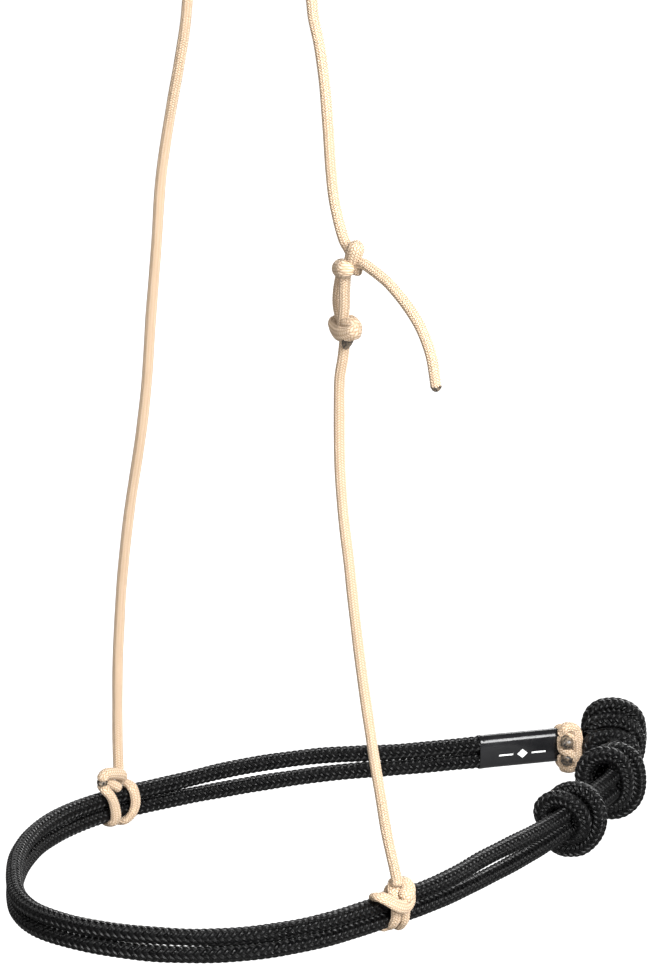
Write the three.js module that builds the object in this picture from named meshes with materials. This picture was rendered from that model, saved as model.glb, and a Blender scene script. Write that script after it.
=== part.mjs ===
// Rope halter: a doubled black rope noseband with heel knots, hung from a thin cream headstall cord.
// Millimetres. +Z is up, +Y runs from the nose to the heel, +X is the horse's near (left) side.
// The origin is under the middle of the crown, where the headstall rests on the horse's poll.
import * as THREE from 'three';

// ---- driving dimensions -------------------------------------------------------------------------
const ROPE_DIAMETER = 7.5;              // black noseband rope
const CORD_DIAMETER = 4.8;              // cream headstall cord
const GAP = 0.3;                        // clearance between pieces that touch
const PIVOT_GAP = 1.2;                  // clearance where one cord bends against the next
const NOSEBAND_DROP = 436;              // from the crown down to the middle of the noseband
const STRAND_SPACING = 7.8;             // between the upper and lower strands, where they touch
const TURN_PITCH = 7.8;                 // along the strands, from one turn of a heel knot to the next
const CROWN_PIVOT_DROP = 48;            // where the cheek cords meet the crown
const SLEEVE_WALL = 0.9;
const SLEEVE_LENGTH = 39.5;
const TIP_LENGTH = 4.5;                 // melted cord end

const ROPE_RADIUS = ROPE_DIAMETER / 2;
const CORD_RADIUS = CORD_DIAMETER / 2;
const PAIR_HALF_HEIGHT = STRAND_SPACING / 2;
const ROPE_SIDES = 10;
const CORD_SIDES = 8;
const ROPE_STEP = 16;                   // length of one straight facet along a rope or cord
const CORD_STEP = 11.5;
const ROPE_TURN_STEP = 4;               // the same, along a tight turn
const CORD_TURN_STEP = 3;

// ---- materials ----------------------------------------------------------------------------------
const blackRope = new THREE.MeshStandardMaterial({ color: 0x17171a, roughness: 0.55, metalness: 0 });
const creamCord = new THREE.MeshStandardMaterial({ color: 0xe2cdae, roughness: 0.7, metalness: 0 });
const shrinkTube = new THREE.MeshStandardMaterial({ color: 0x1d1d1f, roughness: 0.2, metalness: 0 });
const meltedEnd = new THREE.MeshStandardMaterial({ color: 0x3a332c, roughness: 0.4, metalness: 0 });

const halter = new THREE.Group();

function addPiece(name, geometry, material) {
  const mesh = new THREE.Mesh(geometry, material.clone());
  mesh.name = name;
  halter.add(mesh);
  return mesh;
}

// ---- shapes along a line ------------------------------------------------------------------------
function roundSection(radius, sides) {
  const corners = [];
  for (let i = 0; i < sides; i += 1) {
    const angle = (2 * Math.PI * i) / sides;
    corners.push(new THREE.Vector2(radius * Math.cos(angle), radius * Math.sin(angle)));
  }
  return new THREE.Shape(corners);
}

// Uniform spline: two routes whose points differ by a fixed offset stay that far apart all along.
function smoothLine(points) {
  return new THREE.CatmullRomCurve3(points, false, 'catmullrom', 0.5);
}

function tubeAlong(line, diameter, sides, step) {
  const steps = Math.max(1, Math.round(line.getLength() / step));
  return new THREE.ExtrudeGeometry(roundSection(diameter / 2, sides), {
    steps,
    extrudePath: line,
    bevelEnabled: false,
  });
}

function cordThrough(points) {
  const line = smoothLine(points.map(([x, y, z]) => new THREE.Vector3(x, y, z)));
  return tubeAlong(line, CORD_DIAMETER, CORD_SIDES, CORD_STEP);
}

// A tied knot's outer shape, as a rounded lump.
function addKnot(name, place, [sizeX, sizeY, sizeZ]) {
  const lump = new THREE.SphereGeometry(0.5, 14, 10);
  lump.scale(sizeX, sizeY, sizeZ);
  const mesh = addPiece(name, lump, creamCord);
  mesh.position.copy(place);
  return mesh;
}

// A cut end, melted to a blunt point. It starts at place and points along direction.
function addMeltedEnd(name, place, direction) {
  const profile = [
    new THREE.Vector2(0, 0),
    new THREE.Vector2(CORD_RADIUS, 0),
    new THREE.Vector2(CORD_RADIUS, 0.45 * TIP_LENGTH),
    new THREE.Vector2(0.45 * CORD_RADIUS, 0.9 * TIP_LENGTH),
    new THREE.Vector2(0, TIP_LENGTH),
  ];
  const mesh = addPiece(name, new THREE.LatheGeometry(profile, CORD_SIDES), meltedEnd);
  mesh.position.copy(place);
  mesh.quaternion.setFromUnitVectors(new THREE.Vector3(0, 1, 0), direction.clone().normalize());
  return mesh;
}

// ---- noseband -----------------------------------------------------------------------------------
// Middle of the two strands: x, y, height above the noseband's level, and the strands' spacing.
// The route starts in the rear heel knot, runs along the near side, round the nose, back along the
// far side, and ends beside the rear heel knot. Its last stretch is straight, inside the sleeve.
const NOSEBAND_ROUTE = [
  [-8.8, 240.6, 5, 7.8],
  [-0.6, 230.2, 4, 7.8],
  [18, 212, 2, 7.8],
  [37.5, 192.8, 0, 7.8],
  [50, 167, 0, 7.8],
  [60, 141, -1, 7.8],
  [69, 115, -1, 8.4],
  [77.2, 89, 0, 9.4],
  [83, 64, 0, 9.6],
  [89, 40, 0, 8.2],
  [92.2, 19, 0, 7.8],
  [93, 0, 0, 7.8],
  [93.5, -20, 0, 7.8],
  [93, -38, 0, 7.8],
  [89.8, -56, 0, 7.8],
  [82.8, -75, 0, 7.8],
  [71.5, -92, 0, 7.9],
  [56, -106, 0, 8.2],
  [38, -116.5, 0, 8.6],
  [19, -123, 0, 9],
  [-1, -124.5, 0, 9],
  [-20, -118.5, 0, 9],
  [-38, -106.5, 0, 9],
  [-56, -91, 0, 9.2],
  [-71, -73.5, 0, 9.2],
  [-82, -56, 0, 8.8],
  [-89, -38, 0, 8.3],
  [-92.6, -19, 0, 7.8],
  [-93, 0, 0, 7.8],
  [-90.8, 18, 0, 7.8],
  [-88.3, 36, 0, 8.2],
  [-85.7, 54, 0, 9.2],
  [-82, 71.5, 0, 9.6],
  [-76.8, 89, 0, 9.6],
  [-70.5, 105.5, 0, 9.2],
  [-62.3, 120.5, 0, 8.4],
  [-54, 133.8, 0, 7.8],
  [-47, 147, 0, 7.8],
  [-40.5, 160.6, 0, 7.8],
  [-34, 174.2, 0, 7.8],
  [-27.5, 187.8, 0, 7.8],
  [-21, 201.4, 0, 7.8],
  [-14.5, 215, 0, 7.8],
  [-11.9, 220.4, 0, 7.8],
];

const pairLine = smoothLine(
  NOSEBAND_ROUTE.map(([x, y, rise]) => new THREE.Vector3(x, y, rise - NOSEBAND_DROP)),
);
const PAIR_LENGTH = pairLine.getLength();

function strand(side) {
  const line = smoothLine(
    NOSEBAND_ROUTE.map(
      ([x, y, rise, spacing]) => new THREE.Vector3(x, y, rise - NOSEBAND_DROP + (side * spacing) / 2),
    ),
  );
  return tubeAlong(line, ROPE_DIAMETER, ROPE_SIDES, ROPE_STEP);
}

addPiece('noseband_upper_strand', strand(1), blackRope);
addPiece('noseband_lower_strand', strand(-1), blackRope);

// Distance along the pair to the place nearest to (x, y).
function distanceAlongPair(x, y) {
  let best = 0;
  let bestDistance = Infinity;
  for (let s = 0; s <= PAIR_LENGTH; s += 0.5) {
    const point = pairLine.getPointAt(s / PAIR_LENGTH);
    const away = Math.hypot(point.x - x, point.y - y);
    if (away < bestDistance) {
      best = s;
      bestDistance = away;
    }
  }
  return best;
}

// Directions beside the pair at a distance along it: forward along the route, and out of the loop.
function directionsAt(along) {
  const forward = pairLine.getTangentAt(along / PAIR_LENGTH);
  const outward = new THREE.Vector3(-forward.y, forward.x, 0).normalize();
  return { forward, outward };
}

function besidePair(along, across, up) {
  const { outward } = directionsAt(along);
  const point = pairLine.getPointAt(along / PAIR_LENGTH).addScaledVector(outward, across);
  point.z += up;
  return point;
}

// Turns of rope or cord round both strands, following the outline of the two, one above the other.
// The angle is 0 on the outside of the loop, 90 on top, 180 on the inside and 270 underneath.
// shift gives how far along the pair each place is from the centre.
function turnsRoundPair({ centre, from, to, diameter, shift, reach = 0 }) {
  const radius = ROPE_RADIUS + GAP + diameter / 2 + reach;
  const count = Math.ceil((to - from) / 20);
  const points = [];
  for (let i = 0; i <= count; i += 1) {
    const degrees = from + ((to - from) * i) / count;
    const angle = THREE.MathUtils.degToRad(degrees);
    const rise = Math.sin(angle);
    const lift = PAIR_HALF_HEIGHT * THREE.MathUtils.clamp(rise * 3, -1, 1);
    points.push(besidePair(centre + shift(degrees, rise), radius * Math.cos(angle), lift + radius * rise));
  }
  return smoothLine(points);
}

// ---- heel knots: close turns of the noseband rope round the near pair ----------------------------
const HEEL_KNOTS = [
  { name: 'heel_knot_front', x: 60.5, y: 141.5, turns: 2.6, reach: 1, lean: -3 },
  { name: 'heel_knot_middle', x: 37.5, y: 192.8, turns: 2.6, reach: 2.4, lean: -3 },
  { name: 'heel_knot_rear', x: -0.6, y: 230.2, turns: 2.2, reach: 2.2, lean: -2 },
];
const HEEL_TURN_START = 60;
for (const { name, x, y, turns, reach, lean } of HEEL_KNOTS) {
  const line = turnsRoundPair({
    centre: distanceAlongPair(x, y),
    from: HEEL_TURN_START,
    to: HEEL_TURN_START + 360 * turns,
    diameter: ROPE_DIAMETER,
    reach,
    shift: (degrees, rise) =>
      TURN_PITCH * ((degrees - HEEL_TURN_START) / 360 - turns / 2) + lean * rise,
  });
  addPiece(name, tubeAlong(line, ROPE_DIAMETER, ROPE_SIDES, ROPE_TURN_STEP), blackRope);
}

// ---- label sleeve: a shrink tube over both far strands, with flat sides --------------------------
function pairOutline(radius) {
  const outline = new THREE.Shape();
  outline.absarc(0, PAIR_HALF_HEIGHT, radius, 0, Math.PI, false);
  outline.absarc(0, -PAIR_HALF_HEIGHT, radius, Math.PI, 2 * Math.PI, false);
  outline.closePath();
  return outline;
}

const sleeveStart = distanceAlongPair(-34.6, 172.9);
const sleeveOutline = pairOutline(ROPE_RADIUS + GAP + SLEEVE_WALL);
sleeveOutline.holes.push(pairOutline(ROPE_RADIUS + GAP));
const sleeve = addPiece(
  'label_sleeve',
  new THREE.ExtrudeGeometry(sleeveOutline, { depth: SLEEVE_LENGTH, bevelEnabled: false, curveSegments: 10 }),
  shrinkTube,
);
const sleeveSides = directionsAt(sleeveStart);
const upward = new THREE.Vector3(0, 0, 1);
sleeve.quaternion.setFromRotationMatrix(
  new THREE.Matrix4().makeBasis(sleeveSides.outward, upward, sleeveSides.forward),
);
sleeve.position.copy(besidePair(sleeveStart, 0, 0));

// ---- collar: cream cord tied round the far pair behind the sleeve --------------------------------
const COLLAR_TURNS = 1.6;
const COLLAR_PITCH = CORD_DIAMETER + GAP;
const COLLAR_LENGTH = COLLAR_TURNS * COLLAR_PITCH + CORD_DIAMETER;
const COLLAR_FACE = ROPE_RADIUS + CORD_DIAMETER + 2 * GAP;      // out to just clear of the turns
const collarCentre = sleeveStart + SLEEVE_LENGTH + GAP + COLLAR_LENGTH / 2;
const collarLine = turnsRoundPair({
  centre: collarCentre,
  from: 0,
  to: 360 * COLLAR_TURNS,
  diameter: CORD_DIAMETER,
  shift: (degrees) => COLLAR_PITCH * (degrees / 360 - COLLAR_TURNS / 2),
});
addPiece('collar_wrap', tubeAlong(collarLine, CORD_DIAMETER, CORD_SIDES, CORD_TURN_STEP), creamCord);
for (const [name, back, up] of [['collar_upper_end', -2.4, 5.2], ['collar_lower_end', -2.8, -6.5]]) {
  const inward = directionsAt(collarCentre).outward.negate();
  addMeltedEnd(name, besidePair(collarCentre + back, -COLLAR_FACE - GAP, up), inward);
}

// ---- hitches: each cheek cord goes twice round both strands and ends in a knot on top -------------
const HITCH_OPEN_FROM = 120;            // the turns run from here, under the strands, to HITCH_OPEN_TO
const HITCH_OPEN_TO = 420;
const HITCH_FOOT = 2.6;                 // half the distance between the turns, underneath
const HITCH_TOP = 5.4;                  // the same, on top
const HITCH_KNOT = [8, 9, 8.4];
const HITCH_KNOT_UP = PAIR_HALF_HEIGHT + ROPE_RADIUS + 2 * GAP + HITCH_KNOT[2] / 2;

function addHitch(side, x, y, knotAcross) {
  const centre = distanceAlongPair(x, y);
  for (const [place, sign] of [['first', -1], ['second', 1]]) {
    const line = turnsRoundPair({
      centre,
      from: HITCH_OPEN_FROM,
      to: HITCH_OPEN_TO,
      diameter: CORD_DIAMETER,
      shift: (degrees, rise) => sign * (HITCH_FOOT + ((HITCH_TOP - HITCH_FOOT) * (1 + rise)) / 2),
    });
    const turn = tubeAlong(line, CORD_DIAMETER, CORD_SIDES, CORD_TURN_STEP);
    addPiece(`${side}_hitch_${place}_turn`, turn, creamCord);
  }
  addKnot(`${side}_hitch_knot`, besidePair(centre, knotAcross, HITCH_KNOT_UP), HITCH_KNOT);
}

addHitch('far', -93, 0, 1);
addHitch('near', 93, 2, 1.6);
const farHitchEnd = new THREE.Vector3(-94, -HITCH_KNOT[1] / 2 - GAP, HITCH_KNOT_UP + 1 - NOSEBAND_DROP);
addMeltedEnd('far_hitch_end', farHitchEnd, new THREE.Vector3(0, -1, 0));

// ---- headstall: x, y, z along each stretch of cord -----------------------------------------------
const pivotHeight = -CROWN_PIVOT_DROP;
const hitchTop = HITCH_KNOT_UP + HITCH_KNOT[2] / 2 + PIVOT_GAP / 2 - NOSEBAND_DROP;

addPiece(
  'crown_cord',
  cordThrough([
    [41.8, 0, pivotHeight + PIVOT_GAP / 2],
    [40.4, 0, -39],
    [37.3, 0, -28.5],
    [32, 0, -18],
    [24.3, 0, -8.6],
    [13.3, 0, -0.8],
    [0, 0, CORD_RADIUS],
    [-13.3, 0, -0.8],
    [-24.3, 0, -8.6],
    [-31.6, 0, -18],
    [-36.4, 0, -28.5],
    [-39, 0, -39],
    [-40.1, 0, pivotHeight + PIVOT_GAP / 2],
  ]),
  creamCord,
);

addPiece(
  'far_cheek_cord',
  cordThrough([
    [-40.2, 0, pivotHeight - PIVOT_GAP / 2],
    [-42.3, 0, -63],
    [-46.6, 0, -81],
    [-51.6, 0, -99.5],
    [-56.2, 0, -118],
    [-60, 0, -137],
    [-62.9, 0, -164],
    [-65.2, 0, -182.5],
    [-67.6, 0, -201.5],
    [-70.4, 0, -228],
    [-73.8, 0, -249],
    [-78, 0, -268.5],
    [-82.6, 0, -288],
    [-86.6, 0, -309],
    [-89.8, 0, -330],
    [-91.6, 0, -348],
    [-93.1, 0, -367],
    [-93.7, 0, -386],
    [-94, 0, -404],
    [-94.2, 0, hitchTop],
  ]),
  creamCord,
);

addPiece(
  'near_crown_cord',
  cordThrough([
    [41.9, 0, pivotHeight - PIVOT_GAP / 2],
    [43.7, 0, -59],
    [46.4, 0, -75],
    [48.5, 0, -92],
    [50.1, 0, -108],
    [52.2, 0, -122],
    [55.4, 0, -132.5],
    [59.2, 0, -139.4],
  ]),
  creamCord,
);

addKnot('adjusting_bend', new THREE.Vector3(62.7, 0, -149), [12.4, 12.4, 16.8]);

const TAIL_TIP = [116.8, 0, -194];
addPiece(
  'tail_cord',
  cordThrough([
    [70.8, 0, -146.6],
    [77.5, 0, -149.3],
    [86, 0, -153.6],
    [92, 0, -157.2],
    [97, 0, -160.6],
    [102.3, 0, -164.8],
    [106.8, 0, -169.4],
    [111, 0, -175.6],
    [114.3, 0, -182.5],
    TAIL_TIP,
  ]),
  creamCord,
);
const tailTip = new THREE.Vector3(...TAIL_TIP);
addMeltedEnd('tail_end', tailTip.add(new THREE.Vector3(0.05, 0, -GAP)), new THREE.Vector3(0.15, 0, -1));

// The eye loop's two legs stand side by side between the bend and the knot that closes the loop.
const EYE_KNOT = new THREE.Vector3(61.4, 0, -181.6);
for (const [place, offset] of [['outer', 2.6], ['inner', -2.6]]) {
  const leg = cordThrough([
    [62.7 + offset, 0, -157.8],
    [62 + offset, 0, -166],
    [61.4 + offset, 0, -174.5],
  ]);
  addPiece(`eye_loop_${place}_leg`, leg, creamCord);
}
addKnot('eye_knot', EYE_KNOT, [14.6, 14.6, 13.2]);
const eyeKnotEnd = new THREE.Vector3(64.2, -3.2, -188.2);
addMeltedEnd('eye_knot_end', eyeKnotEnd, new THREE.Vector3(0, 0, -1));

addPiece(
  'near_cheek_cord',
  cordThrough([
    [59.2, 0, -189.2],
    [58.4, 0, -203.5],
    [58.2, 0, -221],
    [58.5, 0, -239],
    [60, 0, -256.5],
    [62, 0, -270],
    [64.6, 0, -284],
    [67.2, 0, -300.5],
    [70.2, 0, -318],
    [73.6, 0, -335.5],
    [77.3, 0, -352.5],
    [81.2, 0, -370],
    [85.6, 0, -387],
    [90, 1, -403],
    [94.3, 2, hitchTop],
  ]),
  creamCord,
);

export default halter;
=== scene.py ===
"""Rope halter: a doubled black noseband with heel knots, hung from a thin cream cord headstall."""

import math

import bpy
import numpy as np
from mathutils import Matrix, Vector


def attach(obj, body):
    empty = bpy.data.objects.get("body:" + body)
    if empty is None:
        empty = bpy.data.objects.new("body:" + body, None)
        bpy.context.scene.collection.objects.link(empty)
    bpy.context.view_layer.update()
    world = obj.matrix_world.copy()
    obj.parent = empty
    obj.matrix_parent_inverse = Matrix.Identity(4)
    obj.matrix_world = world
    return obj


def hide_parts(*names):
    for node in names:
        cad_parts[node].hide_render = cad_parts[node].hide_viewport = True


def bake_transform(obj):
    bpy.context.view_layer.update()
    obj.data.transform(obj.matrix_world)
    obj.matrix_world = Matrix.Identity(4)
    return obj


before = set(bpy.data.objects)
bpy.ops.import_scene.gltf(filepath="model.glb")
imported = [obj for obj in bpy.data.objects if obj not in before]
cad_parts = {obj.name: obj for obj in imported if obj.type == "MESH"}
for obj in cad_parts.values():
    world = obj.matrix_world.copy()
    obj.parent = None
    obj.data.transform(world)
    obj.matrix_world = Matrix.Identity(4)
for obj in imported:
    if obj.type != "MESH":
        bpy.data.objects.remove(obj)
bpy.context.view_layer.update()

# routes and sizes are in millimetres, and MM turns them into Blender's metres
MM = 0.001
ROPE = 7.5  # rope diameter
CORD = 4.8  # cord diameter
NOSEBAND_Z = -436.0  # height of the pair's middle line
UP = np.array([0.0, 0.0, 1.0])


def unit(v):
    v = np.asarray(v, float)
    return v / max(np.linalg.norm(v), 1e-12)


# ---------------------------------------------------------------- camera

CAMERA_AZIMUTH = math.radians(48.8)
CAMERA_ELEVATION = math.radians(20.0)
CAMERA_DISTANCE = 2500.0
CAMERA_TARGET = np.array([-3.0, 5.0, -436.0])
CAMERA_AIM = (-0.7139, 0.6421, -0.2794)  # passes above the target, to frame the cords over the noseband
CAMERA_SENSOR = 36.0
CAMERA_LENS = 205.27


def make_camera():
    level = math.cos(CAMERA_ELEVATION)
    view = np.array([-math.sin(CAMERA_AZIMUTH) * level, math.cos(CAMERA_AZIMUTH) * level,
                     -math.sin(CAMERA_ELEVATION)])
    data = bpy.data.cameras.new("camera")
    data.sensor_width = CAMERA_SENSOR
    data.lens = CAMERA_LENS
    data.clip_start = 0.05
    data.clip_end = 60.0
    camera = bpy.data.objects.new("camera", data)
    bpy.context.scene.collection.objects.link(camera)
    camera.location = Vector((CAMERA_TARGET - CAMERA_DISTANCE * view) * MM)
    camera.rotation_mode = "QUATERNION"
    camera.rotation_quaternion = Vector(CAMERA_AIM).to_track_quat("-Z", "Y")
    bpy.context.scene.camera = camera


make_camera()


# ---------------------------------------------------------------- materials

class Graph:
    """Short names for building a node tree."""

    def __init__(self, tree):
        self.tree = tree

    def node(self, kind, **props):
        n = self.tree.nodes.new(kind)
        for k, v in props.items():
            setattr(n, k, v)
        return n

    def put(self, socket, value):
        if isinstance(value, bpy.types.NodeSocket):
            self.tree.links.new(value, socket)
        else:
            socket.default_value = value

    def math(self, op, a, b=0.0, clamp=False):
        n = self.node("ShaderNodeMath", operation=op, use_clamp=clamp)
        self.put(n.inputs[0], a)
        self.put(n.inputs[1], b)
        return n.outputs[0]

    def choose(self, flag, a, b):
        """a where flag is 1, b where it is 0."""
        return self.math("ADD", b, self.math("MULTIPLY", flag, self.math("SUBTRACT", a, b)))

    def mix(self, factor, a, b):
        n = self.node("ShaderNodeMix", data_type="RGBA")
        self.put(n.inputs[0], factor)
        self.put(n.inputs[6], a)
        self.put(n.inputs[7], b)
        return n.outputs[2]

    def ramp(self, value, low, high, out_low=0.0, out_high=1.0):
        n = self.node("ShaderNodeMapRange", clamp=True)
        for s, v in zip(n.inputs, (value, low, high, out_low, out_high)):
            self.put(s, v)
        return n.outputs[0]

    def position(self):
        return self.node("ShaderNodeNewGeometry").outputs["Position"]

    def noise(self, vector, scale, detail=2.0):
        n = self.node("ShaderNodeTexNoise")
        self.put(n.inputs["Vector"], vector)
        n.inputs["Scale"].default_value = scale
        n.inputs["Detail"].default_value = detail
        return n.outputs[0]

    def bump(self, height, strength, distance):
        n = self.node("ShaderNodeBump")
        n.inputs["Strength"].default_value = strength
        n.inputs["Distance"].default_value = distance
        self.put(n.inputs["Height"], height)
        return n.outputs[0]

    def seen_by_camera(self):
        return self.node("ShaderNodeLightPath").outputs["Is Camera Ray"]


def new_material(name, **constants):
    """A Principled material; constants are shader inputs that are the same all over, such as Roughness."""
    material = bpy.data.materials.new(name)
    material.use_nodes = True
    tree = material.node_tree
    tree.nodes.clear()
    out = tree.nodes.new("ShaderNodeOutputMaterial")
    bsdf = tree.nodes.new("ShaderNodeBsdfPrincipled")
    tree.links.new(bsdf.outputs[0], out.inputs[0])
    for words, value in constants.items():
        bsdf.inputs[words.replace("_", " ")].default_value = value
    return material, Graph(tree), bsdf


def braid_nodes(g, carriers):
    """The weave from the mesh's UV map: height over one pick, the places across and along the pick, and a
    random value for each pick."""
    xyz = g.node("ShaderNodeSeparateXYZ")
    g.put(xyz.inputs[0], g.node("ShaderNodeUVMap", uv_map="weave").outputs[0])
    turns = g.math("MULTIPLY", xyz.outputs[0], carriers / 2.0)
    a = g.math("ADD", turns, xyz.outputs[1])
    b = g.math("SUBTRACT", turns, xyz.outputs[1])
    i = g.math("FLOOR", a)
    j = g.math("FLOOR", b)
    first = g.math("LESS_THAN", g.math("FLOORED_MODULO", g.math("ADD", i, j), 4.0), 1.5)
    across = g.choose(first, g.math("FRACT", a), g.math("FRACT", b))
    run_a = g.math("ADD", b, i)
    run_b = g.math("SUBTRACT", g.math("ADD", a, j), 2.0)
    along_a = g.math("FLOORED_MODULO", run_a, 4.0)
    along_b = g.math("FLOORED_MODULO", run_b, 4.0)
    along = g.math("MULTIPLY", g.choose(first, along_a, along_b), 0.5)
    off = g.math("SUBTRACT", g.math("MULTIPLY", across, 2.0), 1.0)
    crown = g.math("SQRT", g.math("SUBTRACT", 1.0, g.math("MULTIPLY", off, off), clamp=True))
    lift = g.math("POWER", g.math("SINE", g.math("MULTIPLY", along, math.pi), clamp=True), 0.5)
    profile = g.math("MULTIPLY", crown, lift)
    # the pick's own number: its carrier, its direction and how far along it lies
    pick_a = g.math("FLOOR", g.math("MULTIPLY", run_a, 0.25))
    pick_b = g.math("FLOOR", g.math("MULTIPLY", run_b, 0.25))
    place_a = g.math("SUBTRACT", i, g.math("MULTIPLY", pick_a, 2.0))
    place_b = g.math("SUBTRACT", g.math("MULTIPLY", pick_b, 2.0), j)
    cell = g.node("ShaderNodeCombineXYZ")
    g.put(cell.inputs[0], g.math("FLOORED_MODULO", g.choose(first, i, j), carriers / 2.0))
    g.put(cell.inputs[1], first)
    g.put(cell.inputs[2], g.choose(first, place_a, place_b))
    white = g.node("ShaderNodeTexWhiteNoise", noise_dimensions="3D")
    g.put(white.inputs["Vector"], cell.outputs[0])
    return profile, across, along, white.outputs["Value"]


PATCH_SCALE = 55.0  # slow changes of colour along the rope
SPECK_SCALE = 900.0  # single fibres
GROOVE_ROUGHNESS = 0.5  # added in the grooves between picks


def braid_material(name, groove_shade, low, high, carriers, rough, uneven, fibres, bump, sheen, sheen_tint,
                   specular):
    """Braided yarn: the groove colour is painted shade in the grooves between picks, and low and high are
    the yarn's own colours; uneven is how roughness differs between picks.
    """
    m, g, bsdf = new_material(name, Specular_IOR_Level=specular, Sheen_Weight=sheen, Sheen_Roughness=0.45,
                              Sheen_Tint=sheen_tint)
    profile, across, along, chance = braid_nodes(g, carriers)
    position = g.position()
    patch = g.noise(position, PATCH_SCALE)
    speck = g.noise(position, SPECK_SCALE, 1.0)
    tint = g.math("ADD", g.math("MULTIPLY", patch, 0.5), g.math("MULTIPLY", chance, 0.5))
    twist = g.math("ADD", g.math("MULTIPLY", across, fibres * 2 * math.pi), g.math("MULTIPLY", along, 2.5))
    strands = g.math("SINE", twist)
    # painted shade: the base colour goes to the groove colour in the grooves between picks, and a little
    # towards it between the fibre lines; the picks' crowns keep the yarn's own colours, with random specks
    shade = g.ramp(g.math("ADD", strands, g.math("MULTIPLY", speck, 2.0)), -1.0, 2.0, 0.78, 1.0)
    unshaded_share = g.math("MULTIPLY", g.ramp(profile, 0.2, 0.85), shade)
    g.put(bsdf.inputs["Base Color"], g.mix(unshaded_share, groove_shade, g.mix(tint, low, high)))
    pick_rough = g.math("ADD", rough, g.math("MULTIPLY", g.math("SUBTRACT", chance, 0.5), uneven))
    groove_rough = g.ramp(profile, 0.0, 1.0, GROOVE_ROUGHNESS, 0.0)
    g.put(bsdf.inputs["Roughness"], g.math("ADD", pick_rough, groove_rough, clamp=True))
    fuzz = g.math("MULTIPLY", speck, 0.25)
    relief = g.math("ADD", g.math("ADD", profile, fuzz), g.math("MULTIPLY", strands, 0.09))
    g.put(bsdf.inputs["Normal"], g.bump(relief, 1.0, bump))
    return m


def melted_material():
    m, g, bsdf = new_material("melted_cord_end", Coat_Weight=0.4)
    position = g.position()
    blotch = g.noise(position, 700.0, 3.0)
    char, tan = (0.012, 0.010, 0.009, 1), (0.24, 0.18, 0.12, 1)
    g.put(bsdf.inputs["Base Color"], g.mix(g.ramp(blotch, 0.42, 0.68), char, tan))
    g.put(bsdf.inputs["Roughness"], g.ramp(blotch, 0.3, 0.7, 0.25, 0.6))
    g.put(bsdf.inputs["Normal"], g.bump(g.noise(position, 1200.0), 0.7, 0.0004))
    return m


def sleeve_material():
    m, g, bsdf = new_material("glossy_sleeve", Specular_IOR_Level=0.4, Coat_Weight=0.3, Coat_Roughness=0.1)
    position = g.position()
    cloud = g.noise(position, 160.0, 3.0)
    g.put(bsdf.inputs["Base Color"], g.mix(cloud, (0.006, 0.006, 0.007, 1), (0.014, 0.014, 0.015, 1)))
    g.put(bsdf.inputs["Roughness"], g.ramp(cloud, 0.3, 0.7, 0.16, 0.24))
    g.put(bsdf.inputs["Normal"], g.bump(g.noise(position, 420.0), 0.25, 0.0004))
    return m


def ink_material():
    return new_material("white_ink", Base_Color=(0.86, 0.86, 0.85, 1), Roughness=0.5)[0]


ROPE_CARRIERS = 16
CORD_CARRIERS = 20
# each braid's groove colour is painted shade in the grooves between its picks
black = braid_material(
    "black_rope_braid", groove_shade=(0.0004, 0.0004, 0.0005, 1), low=(0.0006, 0.0006, 0.0007, 1),
    high=(0.004, 0.004, 0.0044, 1), carriers=ROPE_CARRIERS, rough=0.25, uneven=0.2, fibres=3, bump=0.0008,
    sheen=0.0, sheen_tint=(0.75, 0.77, 0.82, 1), specular=0.27)
cream = braid_material(
    "cream_cord_braid", groove_shade=(0.42, 0.27, 0.15, 1), low=(0.64, 0.49, 0.35, 1),
    high=(0.74, 0.595, 0.455, 1), carriers=CORD_CARRIERS, rough=0.6, uneven=0.1, fibres=4, bump=0.0003,
    sheen=0.1, sheen_tint=(1.0, 0.95, 0.85, 1), specular=0.3)
melted = melted_material()
gloss = sleeve_material()
ink = ink_material()


# ---------------------------------------------------------------- lines and tubes

def run_along(line):
    """Distance from the start at each point."""
    return np.concatenate([[0], np.cumsum(np.linalg.norm(np.diff(line, axis=0), axis=1))])


def even(line, step):
    run = run_along(line)
    count = max(int(round(run[-1] / step)), 6)
    at = np.linspace(0, run[-1], count + 1)
    return np.stack([np.interp(at, run, line[:, k]) for k in range(3)], axis=1)


def catmull(points, step):
    """A smooth line through the points, in even steps."""
    p = np.asarray(points, float)
    p = np.vstack([2 * p[0] - p[1], p, 2 * p[-1] - p[-2]])
    t = np.linspace(0, 1, 24, endpoint=False)[:, None]
    parts = []
    for k in range(1, len(p) - 2):
        a, b, c, d = p[k - 1], p[k], p[k + 1], p[k + 2]
        m0, m1 = (c - a) * 0.5, (d - b) * 0.5
        parts.append((2 * t ** 3 - 3 * t ** 2 + 1) * b + (t ** 3 - 2 * t ** 2 + t) * m0
                     + (-2 * t ** 3 + 3 * t ** 2) * c + (t ** 3 - t ** 2) * m1)
    return even(np.vstack(parts + [p[-2][None]]), step)


def frames(line, start_up):
    """Tangent and two cross directions at each point, carried along the line without twist."""
    tangent = np.gradient(line, axis=0)
    tangent /= np.linalg.norm(tangent, axis=1)[:, None]
    n = np.zeros_like(line)
    up = np.asarray(start_up, float)
    n[0] = unit(up - tangent[0] * np.dot(up, tangent[0]))
    for k in range(1, len(line)):
        v = n[k - 1] - tangent[k] * np.dot(n[k - 1], tangent[k])
        n[k] = v / np.linalg.norm(v)
    return tangent, n, np.cross(tangent, n)


def ring_offsets(radius, n, b):
    """Points of each ring, from the line; radius has a row for each ring and a column for each side."""
    angle = 2 * np.pi * (np.arange(radius.shape[1]) / radius.shape[1])
    return radius[:, :, None] * (np.cos(angle)[None, :, None] * n[:, None, :]
                                 + np.sin(angle)[None, :, None] * b[:, None, :])


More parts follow.
